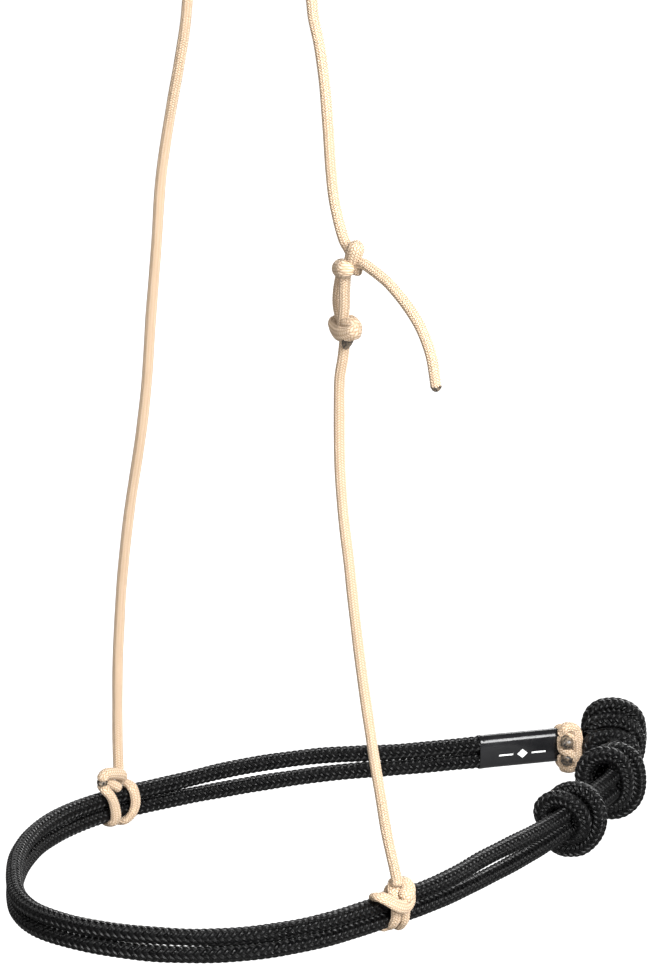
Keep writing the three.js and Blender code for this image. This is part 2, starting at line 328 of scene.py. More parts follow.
def tube_quads(count, sides):
    """Faces between neighbouring rings."""
    ring = np.arange(count - 1)[:, None] * sides
    s0 = np.arange(sides)[None, :]
    s1 = (s0 + 1) % sides
    return np.stack([ring + s0, ring + s1, ring + sides + s1, ring + sides + s0], axis=2).reshape(-1, 4)


def cap_quads(base, sides, tip, at_start):
    """A fan that closes a ring: each face takes two sides of the ring and the tip."""
    half = np.arange(0, sides, 2)
    s0, s1, s2 = base + half, base + (half + 1) % sides, base + (half + 2) % sides
    tips = np.full(len(half), tip)
    return np.stack([s0, tips, s2, s1] if at_start else [s0, s1, s2, tips], 1)


def closed_tube(line, offset):
    """Points and faces of rings along the line, closed by a point at each end."""
    count, sides = offset.shape[:2]
    rings = (line[:, None, :] + offset).reshape(-1, 3)
    tip = len(rings)
    quads = np.vstack([tube_quads(count, sides), cap_quads(0, sides, tip, True),
                       cap_quads((count - 1) * sides, sides, tip + 1, False)])
    return np.vstack([rings, line[:1], line[-1:]]), quads


def mesh_object(name, verts, quads, uvs, material, body):
    """A smooth object from points in millimetres. body is None for a piece that is not attached to a body.
    """
    mesh = bpy.data.meshes.new(name)
    quads = np.asarray(quads, np.int32)
    mesh.vertices.add(len(verts))
    mesh.vertices.foreach_set("co", (np.asarray(verts) * MM).astype(np.float32).ravel())
    mesh.loops.add(quads.size)
    mesh.loops.foreach_set("vertex_index", quads.ravel())
    mesh.polygons.add(len(quads))
    mesh.polygons.foreach_set("loop_start", np.arange(len(quads), dtype=np.int32) * quads.shape[1])
    mesh.update(calc_edges=True)
    if uvs is not None:
        layer = mesh.uv_layers.new(name="weave")
        layer.data.foreach_set("uv", np.asarray(uvs, np.float32).ravel())
    mesh.polygons.foreach_set("use_smooth", np.ones(len(quads), bool))
    mesh.validate()
    mesh.materials.append(material)
    obj = bpy.data.objects.new(name, mesh)
    bpy.context.scene.collection.objects.link(obj)
    if body:
        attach(obj, body)
    return obj


# ---------------------------------------------------------------- braided rope and cord

KINDS = {
    "rope": dict(diameter=ROPE, carriers=ROPE_CARRIERS, pitch=3.1, relief=0.55, step=0.42, sides=64,
                 material=black, slot="black_rope"),
    "cord": dict(diameter=CORD, carriers=CORD_CARRIERS, pitch=1.2, relief=0.23, step=0.3, sides=40,
                 material=cream, slot="cream_cord"),
}
CORD_STEP = KINDS["cord"]["step"]
MEAN_WEAVE = 0.72  # height of the weave that lies on the cord's own radius
END_ROUNDING = 0.75  # length of a rounded end, in radii
END_POINT = 0.02  # the last ring, as a share of the radius


def weave_height(u, v, carriers):
    """Height of a two-over-two braid, 0 to 1; u goes round the rope and v along it."""
    a, b = u * carriers / 2 + v, u * carriers / 2 - v
    i, j = np.floor(a), np.floor(b)
    first = np.mod(i + j, 4) < 1.5
    across = np.where(first, a - i, b - j)
    along = np.where(first, np.mod(b + i, 4), np.mod(a + j - 2, 4)) / 2
    crown = np.sqrt(np.clip(1 - (2 * across - 1) ** 2, 0, 1))
    return crown * np.sqrt(np.clip(np.sin(np.pi * along), 0, 1))


def thickness_along(run, radius, ends, phase):
    """Share of the radius at each ring: uneven in two slow waves, and rounded at the chosen ends."""
    share = 1 + 0.012 * np.sin(run / 9.0 + phase) + 0.010 * np.sin(run / 4.1 + 2 * phase)
    for rounded, distance in zip(ends, (run, run[-1] - run)):
        if rounded:
            close = np.clip(distance / (END_ROUNDING * radius), 0, 1)
            share = share * np.maximum(np.sqrt(np.clip(1 - (1 - close) ** 2, 0, 1)), END_POINT)
    return share


def pressed(offset, line, tangent, against, flat, wide):
    """The rings made flat towards the line that the cord is pressed against, and wide along it."""
    centre, axis = np.asarray(against[0], float), unit(against[1])
    away = line - centre
    away = away - (away @ axis)[:, None] * axis
    away = away - np.sum(away * tangent, axis=1)[:, None] * tangent
    away /= np.maximum(np.linalg.norm(away, axis=1), 1e-6)[:, None]
    side = np.cross(tangent, away)
    thick = np.einsum("rsk,rk->rs", offset, away)
    broad = np.einsum("rsk,rk->rs", offset, side)
    return (offset + (flat - 1) * thick[:, :, None] * away[:, None, :]
            + (wide - 1) * broad[:, :, None] * side[:, None, :])


def weave_uvs(run, sides, pitch, turns):
    """UVs of the tube's faces and then of its two ends: turns round the rope, pitches along it."""
    u = np.arange(sides) / sides
    v0, v1 = run[:-1, None] / pitch, run[1:, None] / pitch
    ua, ub = u[None, :] * turns, (u + 1 / sides)[None, :] * turns
    one = np.ones((len(run) - 1, sides))
    corners = [np.stack([a * one, v * one], 2) for a, v in ((ua, v0), (ub, v0), (ub, v1), (ua, v1))]
    tube = np.stack(corners, axis=2).reshape(-1, 2)
    caps = [np.tile([[0.1, v / pitch]], (sides // 2 * 4, 1)) for v in (run[0], run[-1])]
    return np.vstack([tube] + caps)


def braided(name, kind, points=None, body=None, start_up=(0, 0, 1), ends=(True, True), against=None,
            flat=1.0, wide=1.0, line=None, size=1.0, pitch=None):
    """A braided tube along the points, or along a ready line. against is (point, axis) of what it is
    pressed to, flat and wide are its shares across, and size is its thickness as a share of the rope's."""
    k = KINDS[kind]
    pitch = pitch or k["pitch"]
    if line is None:
        line = catmull(points, k["step"])
    tangent, n, b = frames(line, start_up)
    run = run_along(line)
    sides = k["sides"]
    carriers = 4 * round(k["carriers"] * size * wide ** 0.5 / 4)
    height = weave_height((np.arange(sides) / sides)[None, :], run[:, None] / pitch, carriers)
    base = size * k["diameter"] / 2
    radius = base + k["relief"] * (height - MEAN_WEAVE)
    offset = ring_offsets(radius * thickness_along(run, base, ends, len(name))[:, None], n, b)
    if against is not None:
        offset = pressed(offset, line, tangent, against, flat, wide)
    verts, quads = closed_tube(line, offset)
    uvs = weave_uvs(run, sides, pitch, carriers / k["carriers"])
    return mesh_object(name, verts, quads, uvs, k["material"], body)


MELT_STEP = 0.12
MELT_SIDES = 36
MELT_LEAST = 0.03  # smallest radius
MELT_UP = (0.3, 0.2, 0.93)


def burnt_end(name, points, taper, body, node, blunt=0.6, size=1.0):
    """A cut end sealed with a flame: it narrows to the share taper and rounds off from blunt on."""
    line = catmull(points, MELT_STEP)
    tangent, n, b = frames(line, MELT_UP)
    run = np.linspace(0, 1, len(line))
    angle = np.arange(MELT_SIDES) / MELT_SIDES * 2 * np.pi
    tip = np.clip((run - blunt) / (1 - blunt), 0, 1)
    radius = size * CORD / 2 * (1 - (1 - taper) * run ** 1.2) * np.sqrt(np.clip(1 - tip ** 2.5, 0, 1))
    lumps = (1 + 0.07 * np.sin(3 * angle[None, :] + 5 * run[:, None] + 1.0)
             + 0.05 * np.sin(7 * angle[None, :] - 9 * run[:, None]))
    verts, quads = closed_tube(line, ring_offsets(np.maximum(radius[:, None], MELT_LEAST) * lumps, n, b))
    obj = mesh_object(name, verts, quads, None, melted, body)
    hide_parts(node)
    return obj


# ---------------------------------------------------------------- noseband

# each row is x, y, height over NOSEBAND_Z, and the distance between the two strands
NOSEBAND = [
    [-3.6, 233.6, -1, 6.2], [3.4, 226, -0.6, 6.4], [18, 212, 1.2, 7.4], [37.5, 192.8, 0, 7.8],
    [50, 167, 0, 7.8], [60, 141, -1, 7.8], [69, 115, -1, 8.4], [77.2, 89, 0, 9.4], [83, 64, 0, 9.6],
    [89, 40, 0, 8.2], [92.2, 19, 0, 7.8], [93, 0, 0, 7.8], [93.5, -20, 0, 7.8], [93, -38, 0, 7.8],
    [89.8, -56, 0, 7.8], [82.8, -75, 0, 7.8], [71.5, -92, 0, 7.9], [56, -106, 0, 8.2],
    [38, -116.5, 0, 7.7], [19, -123, 0, 7.7], [-1, -124.5, 0, 7.7], [-20, -118.5, 0, 7.7],
    [-38, -106.5, 0, 8], [-56, -91, 0, 8.4], [-71, -73.5, 0, 8.5], [-82, -56, 0, 8.3], [-89, -38, 0, 8.3],
    [-92.6, -19, 0, 7.8], [-93, 0, 0, 7.8], [-90.8, 18, 0, 7.8], [-88.3, 36, 0, 8.2], [-85.7, 54, 0, 9.2],
    [-82, 71.5, 0, 9.6], [-76.8, 89, 0, 9.6], [-70.5, 105.5, 0, 9.2], [-62.3, 120.5, 0, 8.4],
    [-54, 133.8, 0, 7.8], [-47, 147, 0, 7.8], [-40.5, 160.6, 0, 7.8], [-34, 174.2, 0, 7.8],
    [-27.5, 187.8, 0, 7.8], [-21, 201.4, 0, 7.8], [-14.5, 215, 0, 7.8], [-11.9, 220.4, 0, 7.8],
]


def noseband_point(row, strand):
    """strand is 1 for the upper strand, -1 for the lower one and 0 for the pair's middle."""
    x, y, rise, spacing = row
    return [x, y, NOSEBAND_Z + rise + strand * spacing / 2]


def make_noseband():
    for strand, name in ((1, "noseband_upper_strand"), (-1, "noseband_lower_strand")):
        o = braided("braid_" + name, "rope", [noseband_point(r, strand) for r in NOSEBAND], "noseband",
                    start_up=(0, 0, strand))
        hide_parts(name)


make_noseband()


# ---------------------------------------------------------------- heel knots

KNOT_FRONT = [
    [59.1, 140.7, -442.2], [55.8, 137.4, -441.4], [52.7, 134.6, -439.6], [50.8, 132.9, -435.8],
    [50.8, 132.8, -431.6], [53.7, 134, -428], [57.3, 135.6, -426.5], [61.5, 137.3, -426.9],
    [65, 139, -428.8], [67.5, 140.5, -432.1], [68.2, 141.5, -436.1], [66.3, 142.2, -440.6],
    [62.1, 142.3, -444.7], [56.1, 141.7, -445.7], [51, 141.5, -443.6], [47.7, 141.3, -439.1],
    [47.8, 141.7, -433.3], [50.5, 142.9, -428.5], [54.3, 144.2, -425.6], [58.5, 145.8, -424.3],
    [62.9, 147.4, -424.7], [66.7, 148.8, -427.4], [69.2, 149.7, -431.9], [69.8, 149.9, -437.1],
    [68.7, 149.2, -442.6], [66, 147.8, -447.4], [62.3, 146.1, -451], [57.8, 144, -452.4],
    [53.7, 142.3, -452.4], [49.6, 141.1, -450.3], [47.8, 140.8, -445.8], [51, 142, -441.3],
]
KNOT_MIDDLE = [
    [36, 193.2, -443.5], [32.8, 188.4, -443.8], [30.2, 184.4, -441], [28.6, 181.6, -436.3],
    [28.7, 180.7, -431.2], [30.5, 181.6, -426.2], [33.7, 183.7, -423.1], [37.6, 186.3, -421.9],
    [40.9, 189, -423.1], [43.3, 191.3, -426.8], [44, 192.8, -431.9], [43.4, 193.6, -438.2],
    [40.9, 193.2, -443.7], [36.6, 192, -447.5], [31.6, 190.5, -449], [26.9, 189.1, -447],
    [23.9, 188.3, -442.1], [23.7, 188.6, -435.3], [26.2, 189.9, -428.9], [30.6, 192.6, -424.5],
    [35.3, 195.8, -422.7], [39.5, 199, -424.1], [42, 201.2, -428.4], [42.8, 202.3, -434.9],
    [42.2, 202.4, -442], [39.9, 201.3, -447.8], [35.9, 198.8, -452], [31.5, 195.2, -453.1],
    [27.6, 191.8, -451.4], [25.6, 189.7, -446.4], [29.3, 191.9, -441.5],
]
KNOT_REAR = [
    [2.2, 226.6, -443.6], [-1.4, 222.1, -443.5], [-3.6, 218.5, -440.2], [-3.9, 217.3, -435.5],
    [-2.4, 218.1, -432], [0.5, 220.6, -430.4], [4, 223.7, -429.9], [7.4, 227.1, -430.9],
    [9.4, 230.2, -434], [9.6, 232.1, -438.9], [8, 233, -444.5], [4.5, 231.8, -448.7],
    [-0.5, 228.7, -449.8], [-5.2, 225.4, -448.3], [-8.4, 223, -444.5], [-9.6, 222.1, -439.6],
    [-9.8, 222, -434.6], [-8.9, 222.1, -429.8], [-6.7, 223.5, -426.4], [-3.5, 226.3, -424.9],
    [0, 229.5, -424.5], [3.2, 233.1, -425.6], [5.5, 236.2, -428.8], [6.1, 238.4, -434.1],
    [4.9, 239.5, -440.8], [2.1, 239.2, -446.5], [-2.5, 236.8, -449.4], [-7.6, 233.4, -449.5],
    [-11.6, 230.3, -446.5], [-13.8, 228.2, -441.3], [-14.5, 227.2, -434.9], [-14.1, 226.8, -428.7],
    [-12.6, 227.4, -423.9], [-10.2, 229.4, -420.8], [-7, 232.2, -419.5], [-3.5, 235.5, -419.5],
    [-0.2, 239, -421.4], [2, 241.7, -425.4], [2.4, 242.9, -431.1], [2, 243.4, -437.8], [0.2, 242, -443.5],
    [-3.1, 238.7, -446.7], [-6.9, 234.3, -446.2],
]
# rope that fills the middle of a knot
KNOT_MIDDLE_CORE = [
    [26.2, 186.4, -443], [26.7, 189.4, -440.1], [27.2, 192.4, -437], [27.5, 196, -434],
    [27.6, 199.1, -431.7],
]
KNOT_REAR_CORE = [[1, 228.5, -437.5], [-1.5, 231, -437], [-4.4, 234, -435.8], [-7, 236.8, -434.6]]
KNOT_PITCH = 2.5
KNOT_SIZE = 1.1
REAR_CORE_SIZE = 1.35


def make_heel_knots():
    """The rope's turns round the pair, one piece for each knot."""
    knots = {"heel_knot_front": KNOT_FRONT, "heel_knot_middle": KNOT_MIDDLE, "heel_knot_rear": KNOT_REAR}
    for name, points in knots.items():
        o = braided("braid_" + name, "rope", points, "noseband", size=KNOT_SIZE, pitch=KNOT_PITCH)
        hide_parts(name)
    braided("heel_knot_middle_core", "rope", KNOT_MIDDLE_CORE, "noseband", pitch=KNOT_PITCH)
    braided("heel_knot_rear_core", "rope", KNOT_REAR_CORE, "noseband", size=REAR_CORE_SIZE,
            pitch=KNOT_PITCH)


make_heel_knots()


# ---------------------------------------------------------------- headstall cords

CROWN = [
    [45.6, 0, -59], [41.8, 0, -47.4], [40.4, 0, -39], [37.3, 0, -28.5], [32, 0, -18], [24.3, 0, -8.6],
    [13.3, 0, -0.8], [0, 0, 2.4], [-13.3, 0, -0.8], [-24.3, 0, -8.6], [-31.6, 0, -18], [-36.4, 0, -28.5],
    [-39, 0, -39], [-40.1, 0, -47.4],
]
FAR_CHEEK = [
    [-42.3, 0, -63], [-46.6, 0, -81], [-51.6, 0, -99.5], [-56.2, 0, -118], [-60, 0, -137],
    [-62.9, 0, -164], [-65.2, 0, -182.5], [-67.6, 0, -201.5], [-70.4, 0, -228], [-73.8, 0, -249],
    [-78, 0, -268.5], [-82.6, 0, -288], [-86.6, 0, -309], [-89.8, 0, -330], [-91.6, 0, -348],
    [-93.1, 0, -367], [-93.7, 0, -386], [-93.9, 0, -404], [-93.6, 0, -416], [-93.4, 0, -421],
]
NEAR_CROWN = [[48.8, 0, -75], [50.9, 0, -92], [52.4, 0, -108]]
NEAR_CROWN_END = [
    [54.4, 0, -122.1], [56.9, 0, -130.6], [59.2, 0, -136.5], [61.1, 0.3, -141], [62.9, 1, -144],
    [64, 1.4, -146.2], [64.8, 1, -148.2],
]
NEAR_CHEEK_TOP = [[61.4, 1, -180], [61.1, 0.6, -185.2], [60.9, 0.2, -189.6], [60.3, 0, -194.1]]
NEAR_CHEEK = [
    [58.4, 0, -203.5], [58.2, 0, -221], [58.5, 0, -239], [60, 0, -256.5], [62, 0, -270], [64.6, 0, -284],
    [67.2, 0, -300.5], [70.2, 0, -318], [73.6, 0, -335.5],
]
NEAR_CHEEK_END = [
    [77.5, -0.2, -352.4], [82, -0.7, -369.6], [87.3, -1.6, -386.2], [91.4, -1.7, -401.8],
    [96.3, -1.4, -417.3], [97.4, -1.5, -420.9], [98.9, -2.6, -423.7],
]
TAIL_ROOT = [[67.7, 1, -150], [71.6, 0.6, -149.2], [76, 0, -149.4]]
TAIL = [
    [87.2, 0, -153.4], [93.4, 0, -156.8], [98.6, 0, -160.2], [104.2, 0, -164.6], [109, 0, -169.4],
    [113.2, 0, -175.4], [116.6, 0, -182.5], [119.2, 0, -194],
]


def make_headstall_cord():
    """One cord from the far hitch over the crown and down to the bend."""
    head_line = catmull(FAR_CHEEK[::-1] + CROWN[::-1] + NEAR_CROWN + NEAR_CROWN_END, CORD_STEP)
    o = braided("headstall_cord", "cord", start_up=(0, 1, 0), line=head_line)
    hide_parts("far_cheek_cord", "crown_cord", "near_crown_cord")
    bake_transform(o)


def make_near_cheek_cord():
    """From the eye knot down to the near hitch, where its end turns with the noseband."""
    cheek_line = catmull(NEAR_CHEEK_TOP + NEAR_CHEEK + NEAR_CHEEK_END, CORD_STEP)
    o = braided("near_cheek_cord_braid", "cord", start_up=(0, 1, 0), line=cheek_line)
    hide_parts("near_cheek_cord")
    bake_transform(o)


def make_tail():
    """The free end below the bend, with its melted tip."""
    tail_line = catmull(TAIL_ROOT + TAIL, CORD_STEP)
    tail_cord = braided("tail_cord_braid", "cord", body="tail", start_up=(0, 1, 0), line=tail_line,
                        ends=(True, False))
    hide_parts("tail_cord")
    end = tail_line[-1]
    down = unit(tail_line[-1] - tail_line[-8])
    tail_tip = burnt_end("tail_burnt_end", [end + down * s for s in (-0.6, 0.4, 1.3, 2.1)], 0.7, "tail",
                         "tail_end", blunt=0.2)


make_headstall_cord()
make_near_cheek_cord()
make_tail()


# ---------------------------------------------------------------- knots and hitches in the cord

BEND_UPPER = [
    [65.3, 0.9, -150.8], [67.2, -0.2, -147.7], [69.1, -1, -144.4], [70.2, -1, -141.8],
    [70.5, -0.4, -139.6],
]
BEND_UPPER_BACK = [[62.5, 3.5, -151.2], [63.1, 4.1, -148.2], [64.5, 3.9, -144.8], [67.1, 2.1, -141.9]]
BEND_LOWER = [
    [58.7, 0.4, -153.6], [62.8, -2.3, -152.5], [65.8, -3.3, -151.9], [67.1, -3, -151.9],
    [66.6, -1.8, -152.2],
]
BEND_LOWER_BACK = [[55.9, 3.7, -155.1], [55.9, 4.8, -154.8], [57.5, 4.8, -154.3], [62.8, 3.4, -153.1]]
BEND_SMALL = [[68, 0.5, -155], [68.6, 0.8, -152.3], [68.2, 1, -149.8], [65.6, 1.4, -148.6]]
FRONT_LEG = [
    [62.9, -0.4, -153.1], [63.4, -1.4, -157.7], [63.6, -1.8, -162.4], [63.6, -1.8, -166.7],
    [63.1, -1.6, -171.3], [61.8, -1, -176], [61.1, 0, -181.1],
]
REAR_LEG = [
    [56.3, 3, -156.7], [54.8, 3.4, -160.5], [53.9, 3.4, -165.1], [53.6, 3.4, -169.6], [54.9, 2.8, -173.2],
    [57, 2.2, -176.2], [58.5, 2.6, -179.5], [60.2, 2.6, -182.7],
]
EYE_FRONT = [
    [54.4, 4.2, -178.3], [52.3, 3, -179.6], [53.8, 1, -181], [58.7, -1.4, -181.5], [63.4, -3.2, -181.2],
    [67.5, -3.2, -180.4], [70.1, -2.4, -179.1], [69.5, -0.4, -177.9], [65.1, 2.4, -177.5],
    [60.3, 3.6, -177.5],
]
EYE_BACK = [
    [62.6, -1.4, -176.6], [66.2, -1.8, -175.7], [69, -1.4, -175.8], [69.1, -0, -177.6], [67.6, 1, -180.5],
    [66.2, 0.6, -182.9],
]
EYE_END = [[65.8, -1.6, -181.3], [65.6, -2, -183.4], [65, -2.2, -185.7], [64.6, -2.2, -188]]
FAR_LEFT_BAND = [
    [-94, -6.8, -425.4], [-91.5, -10.9, -424.8], [-88.8, -11.7, -425.9], [-87.4, -9.9, -428.8],
    [-87.1, -8.2, -432.8], [-87.1, -7.2, -437.2], [-88, -6.6, -440.8], [-90, -6.8, -443.1],
]
FAR_RIGHT_BAND = [
    [-94, 2.9, -427.2], [-91.5, 4.1, -427.3], [-88.4, 4.2, -428.7], [-87.2, 4.6, -432.2],
    [-87.1, 4.6, -436.3], [-87.3, 3.3, -439.7], [-88.3, 1.5, -442.3], [-90, -0.4, -443.8],
]
FAR_LOBE = [
    [-95, 1.9, -426.5], [-92.8, 1.3, -423.3], [-90.2, -2.1, -420.7], [-89.4, -6.6, -419.1],
    [-89.2, -10.7, -418.4], [-89.2, -12.8, -419.6], [-89.4, -13.1, -421.5],
]
FAR_UNDER = [[-91.5, -10, -422.6], [-91, -7.4, -424], [-90.4, -5, -425.7], [-90.6, -1.8, -427.9]]
FAR_END = [[-89.6, -12.4, -421.0], [-89.4, -13.1, -422.4], [-89.2, -13.3, -423.8]]
NEAR_LEFT_LEG = [
    [98.6, -2.8, -431], [98.8, -2.8, -434.2], [98.6, -2.7, -437.6], [97.8, -2.8, -439.8],
    [95.8, -2.6, -441.9], [93, -1.9, -443.6],
]
NEAR_RIGHT_LEG = [
    [98.4, 2.6, -432.4], [98.6, 2.6, -435.6], [98.4, 2.7, -438.5], [97.6, 2.9, -440.9],
    [95.6, 3.4, -443.2], [93, 4, -445.1],
]
NEAR_BAND = [
    [88.5, -3.9, -435], [92.5, -9.2, -430], [97, -13, -426], [100.5, -13.2, -425.4], [102.4, -10.7, -427],
    [103.2, -7.9, -429.1], [103.4, -4.5, -430.9], [102.6, -1.1, -431.9], [101.1, 2, -431.7],
    [99.7, 4.1, -430.5], [98.2, 5, -429.1], [96.8, 4.4, -427.7],
]
NEAR_SMALL = [
    [93, 2.6, -423.1], [95, -0.1, -424.3], [96.2, -1.5, -426.1], [97, -1.9, -428.4], [98, -2.3, -431.3],
]
NEAR_TURN = [
    [94.4, 2.2, -424.5], [96.5, 3.3, -424], [98.5, 3.5, -424.9], [99.9, 2.7, -426.4], [100.7, 1, -428.1],
    [99.9, -1, -430.1],
]
COLLAR_RIGHT = [
    [-13.3, 209.1, -431.5], [-12.4, 207.2, -428.6], [-11, 207.4, -426.2], [-9.8, 209.6, -425.6],
    [-8.6, 211.8, -427.1], [-8.1, 212.7, -430.8], [-8.1, 212.9, -435.6], [-8.1, 212.8, -440.1],
    [-8.6, 212.5, -443.9], [-10.4, 211.3, -446.3], [-12.8, 209.4, -446.9],
]
COLLAR_LEFT = [
    [-13.4, 207.9, -430.2], [-12, 206.5, -432.9], [-10.6, 205.6, -435.5], [-8.5, 206.3, -436.9],
    [-7.2, 208, -438.9], [-7.3, 210.2, -441.8],
]
COLLAR_LOW = [
    [-11.2, 213.8, -446.9], [-11.1, 210, -446.9], [-11.4, 207.3, -445], [-11.9, 206.6, -441.7],
    [-11.7, 206.8, -438.7],
]
COLLAR_END_UP = [[-10.1, 207.9, -435.2], [-8.7, 206.2, -432.5], [-7.1, 204.3, -430]]
COLLAR_END_LOW = [[-9.4, 208.2, -439.6], [-8.2, 206.1, -440.6], [-7.3, 204.3, -441.4]]
COLLAR_INNER = [[-13.3, 207.8, -432.2], [-11.3, 208.8, -430.2], [-9.7, 210.2, -430.9], [-9, 211.3, -433.4]]
# how each band goes on round the pair, out of sight from the front
FAR_LEFT_BACK = [
    [-95.5, -5.8, -444.1], [-98.2, -5, -440.5], [-98.8, -4.2, -434.5], [-97.8, -3.6, -429],
    [-95, -3.2, -426.8],
]
FAR_RIGHT_BACK = [
    [-95.5, -1.2, -444.1], [-98.2, 0, -440.5], [-98.8, 1, -434.5], [-97.8, 1.8, -429], [-95, 2.4, -427],
]
NEAR_LEFT_BACK = [
    [89.8, -2, -443.4], [87.2, -2.2, -440], [87, -2.4, -434], [88.8, -2.8, -431], [92.4, -2, -428.8],
]
NEAR_RIGHT_BACK = [
    [89.8, 4, -444], [87.2, 3.6, -440], [87, 3, -433.5], [88.4, 2.4, -428.6], [92, 1.8, -426.6],
]
NEAR_BAND_BACK = [[95, -4.2, -443.6], [91.4, -4.6, -443.4], [88.4, -5, -442], [87, -5, -438.5]]
COLLAR_RIGHT_BACK = [
    [-15.5, 214, -446.6], [-18.5, 215.8, -442], [-19.3, 216.4, -436], [-18.7, 215.8, -429.6],
    [-15.7, 212.8, -427.2],
]
COLLAR_LEFT_BACK = [
    [-16.1, 210.8, -446], [-19.9, 212, -442], [-20.9, 212.4, -436], [-20.1, 212, -430],
    [-16.3, 210, -427.6],
]

# (point, axis) of what a piece of cord is pressed against
FAR_PAIR = ((-93, 0, NOSEBAND_Z), (0, 1, 0))
NEAR_PAIR = ((93, 0, NOSEBAND_Z), (0, 1, 0))
COLLAR_PAIR = ((-24.0, 195.3, NOSEBAND_Z), (0.431, 0.902, 0))
EYE_CORE = ((61, 0.4, -181), (0, 0, 1))


def tied(name, points, body, against=None, flat=1.0, wide=1.0, size=1.0):
    """A piece of cord in a knot or a hitch."""
    return braided(name, "cord", points, body, against=against, flat=flat, wide=wide, size=size)


def make_far_hitch():
    left = tied("far_hitch_left_band", FAR_LEFT_BAND + FAR_LEFT_BACK, "noseband", FAR_PAIR, 0.78, 1.12)
    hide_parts("far_hitch_first_turn")
    right = tied("far_hitch_right_band", FAR_RIGHT_BAND + FAR_RIGHT_BACK, "noseband", FAR_PAIR, 0.78, 1.1)
    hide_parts("far_hitch_second_turn")
    lobe = tied("far_hitch_lobe", FAR_LOBE, "noseband", size=1.12)
    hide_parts("far_hitch_knot")
    tied("far_hitch_tuck", FAR_UNDER, "noseband")
    burnt_end("far_hitch_burnt_end", FAR_END, 0.95, "noseband", "far_hitch_end")


def make_near_hitch():
    left = tied("near_hitch_left_leg", NEAR_LEFT_LEG + NEAR_LEFT_BACK, "noseband", NEAR_PAIR, 0.78, 1.12)
    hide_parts("near_hitch_first_turn")
    right = tied("near_hitch_right_leg", NEAR_RIGHT_LEG + NEAR_RIGHT_BACK, "noseband", NEAR_PAIR, 0.78)
    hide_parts("near_hitch_second_turn")
    band = tied("near_hitch_band", NEAR_BAND_BACK + NEAR_BAND, "noseband", NEAR_PAIR, 0.72, 1.28)
    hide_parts("near_hitch_knot")
    tied("near_hitch_riser", NEAR_SMALL, "noseband", NEAR_PAIR, 0.85, 1.4)
    tied("near_hitch_turn", NEAR_TURN, "noseband", NEAR_PAIR, 0.9, 1.15, size=1.35)


def make_bend():
    """The sheet bend that ties the crown cord to the eye loop."""
    upper = tied("bend_upper_turn", BEND_UPPER, "headstall", size=1.55)
    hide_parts("adjusting_bend")
    tied("bend_upper_back", BEND_UPPER_BACK, "headstall", size=1.3)
    tied("bend_lower_turn", BEND_LOWER, "headstall", size=1.8)
    tied("bend_lower_back", BEND_LOWER_BACK, "headstall", size=1.4)
    tied("bend_side_strand", BEND_SMALL, "headstall")


def make_eye():
    """The loop's two legs, the knot that closes it and the knot's melted end."""
    front = tied("eye_front_leg", FRONT_LEG, "headstall")
    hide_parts("eye_loop_outer_leg")
    rear = tied("eye_rear_leg", REAR_LEG, "headstall")
    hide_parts("eye_loop_inner_leg")
    knot = tied("eye_knot_front_turn", EYE_FRONT, "headstall", EYE_CORE, 0.85, 1.38, size=1.05)
    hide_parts("eye_knot")
    tied("eye_knot_back_turn", EYE_BACK, "headstall", size=1.05)
    burnt_end("eye_knot_burnt_end", EYE_END, 0.55, "headstall", "eye_knot_end", blunt=0.45, size=1.2)


def make_collar():
    """Two turns of cord round the far pair, and their two melted ends."""
    wrap = tied("collar_right_turn", COLLAR_RIGHT + COLLAR_RIGHT_BACK, "noseband", COLLAR_PAIR, 0.85, 1.12)
    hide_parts("collar_wrap")
    tied("collar_inner_turn", COLLAR_INNER, "noseband", size=1.1)
    tied("collar_left_turn", COLLAR_LEFT, "noseband", COLLAR_PAIR, 0.9, 1.05)
    tied("collar_bottom_turn", COLLAR_LOW[::-1] + COLLAR_LEFT_BACK, "noseband", COLLAR_PAIR, 0.85, 1.05)
    burnt_end("collar_burnt_upper_end", COLLAR_END_UP, 0.95, "noseband", "collar_upper_end", blunt=0.75,
              size=1.3)
    burnt_end("collar_burnt_lower_end", COLLAR_END_LOW, 0.95, "noseband", "collar_lower_end", blunt=0.75,
              size=1.25)


make_far_hitch()
make_near_hitch()
make_bend()
make_eye()
make_collar()


# ---------------------------------------------------------------- label sleeve

pair_line = catmull([noseband_point(r, 0) for r in NOSEBAND], 0.5)
pair_run = run_along(pair_line)


def pair_at(along):
    """Point on the pair's middle line at a distance along it, and the level direction across it."""
    back, here, ahead = [np.array([np.interp(along + s, pair_run, pair_line[:, k]) for k in range(3)])
                         for s in (-0.5, 0.0, 0.5)]
    forward = unit(ahead - back)
    return here, unit(np.array([-forward[1], forward[0], 0]))


def nearest_along(x, y):
    d = (pair_line[:, 0] - x) ** 2 + (pair_line[:, 1] - y) ** 2
    return pair_run[int(np.argmin(d))]


SLEEVE_START = nearest_along(-34.6, 172.9)
SLEEVE_SIDES = 96
SLEEVE_HALF = 3.75  # half the distance between the centres of its two round edges
SLEEVE_RADIUS = 3.8
SLEEVE_FLARE = 0.55  # how far its ends stand out
SLEEVE_WAIST = 0.03  # how hollow its flat sides are, as a share of the radius
# distance from the sleeve's start and share of the flare
SLEEVE_PROFILE = (
    (-0.15, 0.2), (-0.45, 0.75), (-0.25, 1.15), (0.5, 1.38), (2.0, 1.12), (4.0, 1.03), (8, 1.0), (14, 1.0),
    (20, 1.0), (26, 1.0), (32, 1.0), (36.5, 1.0), (38.6, 1.05), (39.3, 1.1), (39.7, 0.8), (39.4, 0.2))
MARK_OUT = 4.42  # from the pair's middle line to just over the sleeve's face


